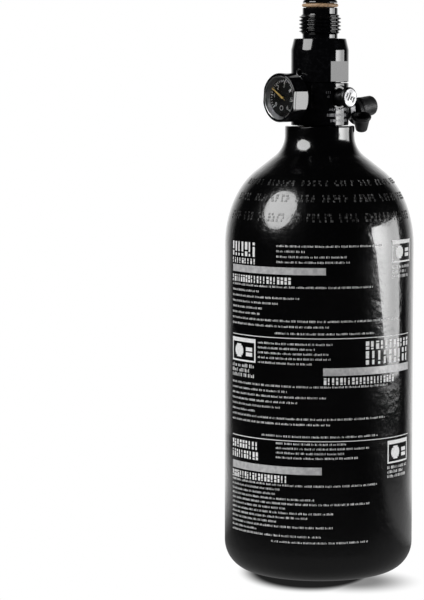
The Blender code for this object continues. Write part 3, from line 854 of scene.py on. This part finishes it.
def make_gauge():
    """Case with wrench flats, bright inner ring, bezel, dial with numbers, pointer and lens."""
    place = outward(GAUGE_AZ, 0, PORT_Z, turn=GAUGE_TURN)
    case = turned_mesh("gauge_case_black", [
        (10.9, 26.2), (12.05, 26.2), (12.05, 19.1), (11.2, 18.1), (2.9, 18.1), (2.9, 20.4),
        (10.9, 20.4)], 128, ring=True, matrix=place, cut=0.2)
    across = outward(GAUGE_AZ, 0, PORT_Z, turn=FLAT_TURN)
    flats = [("DIFFERENCE", block_mesh("flat", (3, 9.4, 16), (side * 12.6, -0.6, 21.5), across))
             for side in (-1, 1)]
    finish_piece("gauge_case_black", shape(case, flats), ANODISED, "cylinder",
                 ["gauge_case"], sharp=FLAT_EDGE)
    bezel = turned_mesh("gauge_bezel_black", [
        (10.75, 27.6), (11.6, 27.6), (12.05, 27.2), (12.05, 26.5), (10.9, 26.5), (10.9, 26.8),
        (10.75, 27.0)], 128, ring=True, matrix=place, cut=0.1)
    finish_piece("gauge_bezel_black", shape(bezel, flats), ANODISED, "cylinder",
                 ["gauge_bezel"], sharp=FLAT_EDGE)
    turned("gauge_bright_ring", [
        (10.15, 27.25), (10.45, 27.55), (10.7, 27.5), (10.7, 27.0), (10.15, 27.1)], NICKEL,
        "cylinder", ring=True, matrix=place, cut=0.06)
    turned("gauge_lens_clear", [
        (0, 27.05), (8.6, 27.05), (10.5, 26.7), (10.6, 26.5), (10.6, 26.3), (8.8, 26.3),
        (0, 26.3)], CLEAR, "cylinder", ["gauge_lens"], matrix=place, cut=0.1)
    turned("gauge_reflector", [
        (9.0, 24.75), (10.4, 26.1), (10.7, 26.1), (10.7, 24.7), (9.0, 24.7)], DULL_NICKEL,
        "cylinder", ring=True, matrix=place)
    turned("gauge_dial_disc", [(0.9, 24.6), (10.5, 24.6), (10.5, 24.2), (0.9, 24.2)], DIAL,
           "cylinder", ["gauge_dial"], ring=True, matrix=place, cut=0.05)
    marks = []
    face = 24.63
    sweep_start, sweep = 225.0, 270.0
    for i in range(31):
        a = math.radians(sweep_start - sweep * i / 30)
        long_tick = i % 5 == 0
        inner = 6.9 if long_tick else 7.5
        width = 0.55 if long_tick else 0.3
        turn = place @ Matrix.Rotation(a, 4, "Z")
        marks.append(block_mesh("tick", (8.6 - inner, width, 0.04),
                                ((8.6 + inner) / 2, 0, face), turn))
    for i in range(7):
        a = math.radians(sweep_start - sweep * i / 6)
        spot = Matrix.Translation((5.9 * math.cos(a) * MM, 5.9 * math.sin(a) * MM, face * MM))
        marks.append(text_mesh("numeral", str(i), 2.8, place @ spot))
    ring = turned_mesh("dial_ring", [(0.95, 24.66), (1.2, 24.66), (1.2, 24.61), (0.95, 24.61)],
                       24, ring=True, matrix=place @ Matrix.Translation((0, -5.1 * MM, 0)))
    marks.append(ring)
    finish_piece("gauge_dial_marks", join_meshes("gauge_dial_marks", marks), INK, "cylinder")
    make_pointer()


def make_pointer():
    """Tapered pointer with a counterweight tail and a domed hub."""
    place = outward(GAUGE_AZ, 0, PORT_Z, turn=POINTER_ANGLE)
    bm = bmesh.new()
    outline = [(-2.2, 0.08), (-2.2, -0.08), (-0.6, -0.1), (0, -0.5), (1.2, -0.46),
               (8.3, -0.2), (8.8, 0), (8.3, 0.2), (1.2, 0.46), (0, 0.5), (-0.6, 0.1)]
    levels = []
    for z in (25.0, 25.25):
        levels.append([bm.verts.new((x * MM, y * MM, z * MM)) for x, y in outline])
    bm.faces.new(levels[1][::-1])
    bm.faces.new(levels[0])
    for i in range(len(outline)):
        j = (i + 1) % len(outline)
        bm.faces.new((levels[1][i], levels[1][j], levels[0][j], levels[0][i]))
    bmesh.ops.recalc_face_normals(bm, faces=bm.faces)
    mesh = mesh_from("pointer_blade", bm)
    mesh.transform(place)
    hub = turned_mesh("hub", [(0, 25.4), (0.45, 25.35), (0.62, 25.2), (0.62, 24.95), (0.5, 24.9),
                              (0.5, 23.4), (0, 23.4)], 32, matrix=place)
    finish_piece("gauge_pointer_gold", shape(mesh, [("UNION", hub)]), GOLD, "pointer",
                 ["gauge_pointer"])


# ---------------------------------------------------------------- plugs and fill nipple

STROKE_LEAN = -28.0            # degrees: slant of the marks on the low burst plug


def make_low_plug():
    """Round burst plug: dark chamfered head, pale face with a few slanted marks."""
    place = outward(LOW_PLUG_AZ, 0, PORT_Z)
    mesh = turned_mesh("low_plug", [
        (0, 20.6), (4.65, 20.6), (5.15, 20.1), (5.15, 18.5), (4.85, 18.2), (4.0, 18.2),
        (4.0, 9.2), (3.4, 8.5), (2.9, 8.5), (2.9, 11.2), (1.2, 11.2), (1.2, 17.4), (0, 17.4)],
        96, matrix=place, cut=0.12)
    across = place @ Matrix.Translation((0, 0, 16.6 * MM)) @ Matrix.Rotation(math.pi / 2, 4, "X")
    finish_piece("low_burst_plug_bright",
                 shape(mesh, [("DIFFERENCE", cylinder_mesh("vent", 0.7, -6, 6, 20, across))]),
                 DARK_NICKEL, "cylinder", ["low_burst_plug"])
    turned("low_plug_face", [(0, 20.66), (4.3, 20.66), (4.3, 20.4), (0, 20.4)], DULL_NICKEL,
           "cylinder", matrix=place)
    strokes = [block_mesh("stroke", (0.95, length, 0.1), (shift, 0, 20.68),
                          place @ Matrix.Rotation(math.radians(STROKE_LEAN), 4, "Z"))
               for shift, length in ((-2.6, 2.6), (-0.9, 4.4), (0.8, 2.2), (2.5, 3.0))]
    finish_piece("low_plug_strokes", join_meshes("low_plug_strokes", strokes), BLACK_SEAL,
                 "cylinder")


def make_high_plug():
    """Hexagonal burst plug with a chamfered head and a vent hole."""
    place = outward(HIGH_PLUG_AZ, 0, PORT_Z)
    mesh = turned_mesh("high_plug", [
        (0, 18.2), (4.3, 18.2), (5.15, 17.6), (5.15, 14.9), (4.85, 14.6), (4.0, 14.6),
        (4.0, 9.2), (3.4, 8.5), (2.9, 8.5), (2.9, 11.2), (1.2, 11.2), (1.2, 15.0), (0, 15.0)],
        96, matrix=place, cut=0.12)
    tools = [("INTERSECT", cylinder_mesh("hexagon", 5.2, 8.0, 30, 6, place)),
             ("DIFFERENCE", flared_cut("vent", 1.2, 14.2, 18.2, 19.2, place))]
    finish_piece("high_burst_plug_bright", shape(mesh, tools), NICKEL, "cylinder",
                 ["high_burst_plug"])


def make_fill_nipple():
    """Steel quick-fill nipple, its seal, the dust cap and the tethered cup."""
    place = outward(FILL_AZ, BODY_R, FILL_Z, FILL_TILT)
    nipple = turned_mesh("nipple", [
        (1.2, 16.4), (3.3, 16.4), (3.95, 15.7), (3.95, 13.4), (3.1, 12.8), (3.1, 11.8),
        (3.95, 11.2), (3.95, 9.2), (2.9, 8.6), (2.9, 4.6), (5.1, 4.2), (5.1, 1.6), (4.3, 1.2),
        (4.3, -5.0), (3.8, -5.6), (2.5, -5.6), (2.5, 4.0), (1.2, 5.6)], 96, ring=True,
        matrix=place, cut=0.15)
    tools = [("INTERSECT", cylinder_mesh("hexagon", 5.3, -7, 18, 6, place))]
    finish_piece("fill_nipple_steel", shape(nipple, tools), SHADED_NIPPLE_STEEL, "cylinder",
                 ["fill_nipple"])
    turned("fill_nipple_seal", circle_profile(5.1, 0.45, 0.7), BLACK_SEAL, "cylinder",
           ["fill_nipple_o_ring"], ring=True, matrix=place)
    cap = [(0, 19.0)] + arc(2.6, 16.6, 2.4, 90, 0, 10)
    cap += [(5.0, 11.0), (5.12, 10.7), (5.12, 9.7), (4.95, 9.2), (4.6, 9.0), (4.3, 9.15),
            (4.25, 9.5), (4.25, 17.1), (0, 17.1)]
    turned("dust_cap_rubber", cap, RUBBER, "cap", ["dust_cap"], matrix=place)
    make_tether(place)


def make_tether(place):
    """One rubber moulding: ring, strap and open cup."""
    loop = turned_mesh("tether_loop", [(0, 8.2), (6.6, 8.2), (6.6, 6.0), (0, 6.0)], 64,
                       matrix=place @ Matrix.Translation((0, -1.5 * MM, 0)), cut=0.3)
    hole = cylinder_mesh("tether_hole", 3.2, 5, 9, 64, place)
    mouth = Vector((20.9, 2.8, 227.9))
    lean = Matrix.Rotation(math.radians(26), 4, "X")
    cup = turned_mesh("tether_cup", [
        (0, -5.8), (1.8, -5.8), (3.5, 0.6), (4.1, 0.9), (4.85, 0.5), (4.85, -0.7), (4.1, -1.3),
        (2.9, -7.0), (2.4, -7.6), (0, -7.6)], 64, matrix=Matrix.Translation(mouth * MM) @ lean,
        cut=0.3)
    strap = strap_mesh("tether_strap", [(17.5, 12.2), (18.2, 9.8), (19.3, 6.9)], 1.4, 224.0,
                       228.5)
    moulding = shape(loop, [("DIFFERENCE", hole), ("UNION", cup), ("UNION", strap)])
    finish_piece("tether_rubber", moulding, RUBBER, "tether", ["cap_tether"])


def strap_mesh(name, route, thickness, low, high):
    """Flat strap on edge: a smoothed route in plan, with a thickness and a height."""
    bm = bmesh.new()
    start, middle, end = [Vector(point) for point in route]
    rows = []
    count = 12
    for i in range(count + 1):
        t = i / count
        early, late = start.lerp(middle, t), middle.lerp(end, t)
        spot = early.lerp(late, t)
        along = (late - early).normalized()
        across = Vector((-along.y, along.x)) * thickness / 2
        row = []
        for side, z in ((1, low), (1, high), (-1, high), (-1, low)):
            edge = spot + across * side
            row.append(bm.verts.new((edge.x * MM, edge.y * MM, z * MM)))
        rows.append(row)
    for one, two in zip(rows, rows[1:]):
        for k in range(4):
            bm.faces.new((one[k], one[(k + 1) % 4], two[(k + 1) % 4], two[k]))
    bm.faces.new(rows[0][::-1])
    bm.faces.new(rows[-1])
    bmesh.ops.recalc_face_normals(bm, faces=bm.faces)
    return mesh_from(name, bm)


# ---------------------------------------------------------------- studio

def studio_object(name, data):
    """New object in the scene that is no piece of the model."""
    made = bpy.data.objects.new(name, data)
    bpy.context.scene.collection.objects.link(made)
    return made


def area_light(name, azimuth, elevation, distance, diameter, power):
    """Round softbox aimed at the middle of the object."""
    data = bpy.data.lights.new(name, "AREA")
    data.shape = "ELLIPSE"
    data.size = diameter
    data.size_y = diameter
    data.energy = power
    lamp = studio_object(name, data)
    target = Vector((0, 0, 0.14))
    lamp.location = target + direction(azimuth, elevation) * distance
    lamp.rotation_mode = "QUATERNION"
    lamp.rotation_quaternion = (target - lamp.location).to_track_quat("-Z", "Y")


SHEET_FADE = (-0.28, 0.16)     # metres along Y between the sheet's front and back strengths


def light_sheet(name, radius, strengths, rows):
    """Curved sheet of light: rows of (height, first, last azimuth), strengths front and back."""
    bm = bmesh.new()
    steps = 8
    levels = []
    for z, first, last in rows:
        levels.append([bm.verts.new(direction(first + (last - first) * i / steps) * radius
                                    + Vector((0, 0, z))) for i in range(steps + 1)])
    for low, high in zip(levels, levels[1:]):
        for i in range(steps):
            bm.faces.new((low[i], high[i], high[i + 1], low[i + 1]))
    mesh = mesh_from(name, bm)
    material = bpy.data.materials.new(name)
    material.use_nodes = True
    tree = material.node_tree
    place = tree.nodes.new("ShaderNodeTexCoord").outputs["Object"]
    fading = ramp_between(tree, along_y(tree, place), *SHEET_FADE, *strengths)
    tree.links.new(glow(tree, "ShaderNodeEmission", fading),
                   tree.nodes["Material Output"].inputs["Surface"])
    mesh.materials.append(material)
    sheet = studio_object(name, mesh)
    sheet.visible_camera = False


def combine(tree, operation, first, second):
    """One arithmetic step on two values."""
    step = tree.nodes.new("ShaderNodeMath")
    step.operation = operation
    tree.links.new(first, step.inputs[0])
    tree.links.new(second, step.inputs[1])
    return step.outputs["Value"]


def along_y(tree, vector):
    """The Y part of a vector."""
    split = tree.nodes.new("ShaderNodeSeparateXYZ")
    tree.links.new(vector, split.inputs["Vector"])
    return split.outputs["Y"]


def vector_step(tree, operation, vector, amount=None):
    """One vector step, with a constant second vector where it takes one."""
    step = tree.nodes.new("ShaderNodeVectorMath")
    step.operation = operation
    if amount:
        step.inputs[1].default_value = amount
    tree.links.new(vector, step.inputs[0])
    return step


def ramp_between(tree, value, start, end, low, high):
    """Smooth step of a value between two levels."""
    step = tree.nodes.new("ShaderNodeMapRange")
    step.interpolation_type = "SMOOTHSTEP"
    step.inputs["From Min"].default_value = start
    step.inputs["From Max"].default_value = end
    step.inputs["To Min"].default_value = low
    step.inputs["To Max"].default_value = high
    tree.links.new(value, step.inputs["Value"])
    return step.outputs["Result"]


def glow(tree, kind, strength):
    """Emission or background shader whose strength is a number or a socket."""
    made = tree.nodes.new(kind)
    made.inputs["Color"].default_value = (1, 1, 1, 1)
    if isinstance(strength, float):
        made.inputs["Strength"].default_value = strength
    else:
        tree.links.new(strength, made.inputs["Strength"])
    return made.outputs[0]


def either(tree, choice, first, second):
    """Mix of two shaders by a socket: 0 is the first, 1 the second."""
    mix = tree.nodes.new("ShaderNodeMixShader")
    tree.links.new(choice, mix.inputs["Fac"])
    tree.links.new(first, mix.inputs[1])
    tree.links.new(second, mix.inputs[2])
    return mix.outputs["Shader"]


# Ramps of light: where each starts and ends, then its levels before and after
WALL = (0.6, 1.04, 0.004, 1.0)               # the wall behind, by a direction's Y
# painted contact and cast shadows on the floor, as strengths of its glow
CONTACT_SHADOW = (0.04, 0.056, 0.015, 1.0)   # by metres from its own centre
CAST_SHADOW = (0.008, 0.034, 0.25, 1.0)
NEAR_BASE = (0.05, 0.2, 0.12, 0.015)         # in reflections, by metres from the axis
BEHIND = (0.02, 0.3, 0.0, 0.8)               # in reflections, by metres along Y
BESIDE = (0.1, 0.3, 0.0, 0.3)                # in reflections, along a slant to the right and back
RIM_BLEND = (0.2, 0.49, 0.0, 1.0)            # from the floor to the wall, by metres from the axis


def make_world():
    """White surroundings for the eye; the light itself comes from a white wall behind."""
    world = bpy.data.worlds.new("studio")
    bpy.context.scene.world = world
    world.use_nodes = True
    tree = world.node_tree
    tree.nodes.clear()
    out = tree.nodes.new("ShaderNodeOutputWorld")
    path = tree.nodes.new("ShaderNodeLightPath")
    place = tree.nodes.new("ShaderNodeTexCoord").outputs["Generated"]
    wall = glow(tree, "ShaderNodeBackground", ramp_between(tree, along_y(tree, place), *WALL))
    white = glow(tree, "ShaderNodeBackground", 1.0)
    tree.links.new(either(tree, path.outputs["Is Camera Ray"], wall, white),
                   out.inputs["Surface"])


def distance_from(tree, place, shift, scale):
    """Distance from a shifted centre on the floor, stretched along X and Y."""
    moved = vector_step(tree, "ADD", place, (*shift, 0.0)).outputs["Vector"]
    stretched = vector_step(tree, "MULTIPLY", moved, (*scale, 0.0)).outputs["Vector"]
    return vector_step(tree, "LENGTH", stretched).outputs["Value"]


def make_floor():
    """Round white table top: a painted soft shadow at the base, white further out, dark in front
    for reflections as if the camera's side of the room were unlit."""
    bm = bmesh.new()
    bmesh.ops.create_circle(bm, cap_ends=True, segments=96, radius=0.5)
    mesh = mesh_from("floor", bm)
    floor = studio_object("floor", mesh)
    floor.location.z = -0.0002
    material = bpy.data.materials.new("floor_white")
    material.use_nodes = True
    tree = material.node_tree
    path = tree.nodes.new("ShaderNodeLightPath")
    place = tree.nodes.new("ShaderNodeTexCoord").outputs["Object"]
    # painted shadows: the floor's glow dims round the base and to its right front
    contact = ramp_between(tree, distance_from(tree, place, (0.004, 0.007), (1.5, 1.0)),
                           *CONTACT_SHADOW)
    cast = ramp_between(tree, distance_from(tree, place, (-0.019, 0.032), (1.0, 1.0)),
                        *CAST_SHADOW)
    seen = glow(tree, "ShaderNodeEmission", combine(tree, "MINIMUM", contact, cast))
    from_axis = distance_from(tree, place, (0.0, 0.0), (1.0, 1.0))
    base = ramp_between(tree, from_axis, *NEAR_BASE)
    behind = ramp_between(tree, along_y(tree, place), *BEHIND)
    slant = vector_step(tree, "DOT_PRODUCT", place, (1.0, 2.5, 0.0)).outputs["Value"]
    beside = ramp_between(tree, slant, *BESIDE)
    brightest = combine(tree, "MAXIMUM", combine(tree, "MAXIMUM", base, behind), beside)
    facing = vector_step(tree, "NORMALIZE", place).outputs["Vector"]
    blend = tree.nodes.new("ShaderNodeMix")
    tree.links.new(ramp_between(tree, from_axis, *RIM_BLEND), blend.inputs[0])
    tree.links.new(brightest, blend.inputs[2])
    tree.links.new(ramp_between(tree, along_y(tree, facing), *WALL), blend.inputs[3])
    mirrored = glow(tree, "ShaderNodeEmission", blend.outputs[0])
    tree.links.new(either(tree, path.outputs["Is Glossy Ray"], seen, mirrored),
                   tree.nodes["Material Output"].inputs["Surface"])
    mesh.materials.append(material)


CAMERA_DISTANCE = 1.33
CAMERA_HEIGHT = 0.2631
CAMERA_YAW = 2.313             # degrees to the left of the object
CAMERA_PITCH = -5.4525
LENS = 159.66


def make_camera():
    """Long lens, slightly above the cylinder, with the object right of the middle."""
    data = bpy.data.cameras.new("camera")
    data.sensor_width = 36.0
    data.lens = LENS
    data.clip_start = 0.05
    data.clip_end = 50.0
    camera = studio_object("camera", data)
    camera.location = (0.0, -CAMERA_DISTANCE, CAMERA_HEIGHT)
    camera.rotation_euler = (math.radians(90 + CAMERA_PITCH), 0.0, math.radians(CAMERA_YAW))
    bpy.context.scene.camera = camera


make_print()
make_shoulder_stamping()
make_body()
make_bonnet()
make_pin_valve()
make_gauge()
make_low_plug()
make_high_plug()
make_fill_nipple()

make_world()
make_floor()
light_sheet("right_sheet", 0.75, (9.5, 3.5), (
    (0.012, 95, 112), (0.037, 85, 112), (0.084, 76, 112), (0.12, 70, 112), (0.26, 66, 112),
    (0.355, 67, 113)))
area_light("left_softbox", -58, 35, 1.1, 0.8, 10.0)
make_camera()
bpy.context.scene.view_settings.view_transform = "Standard"
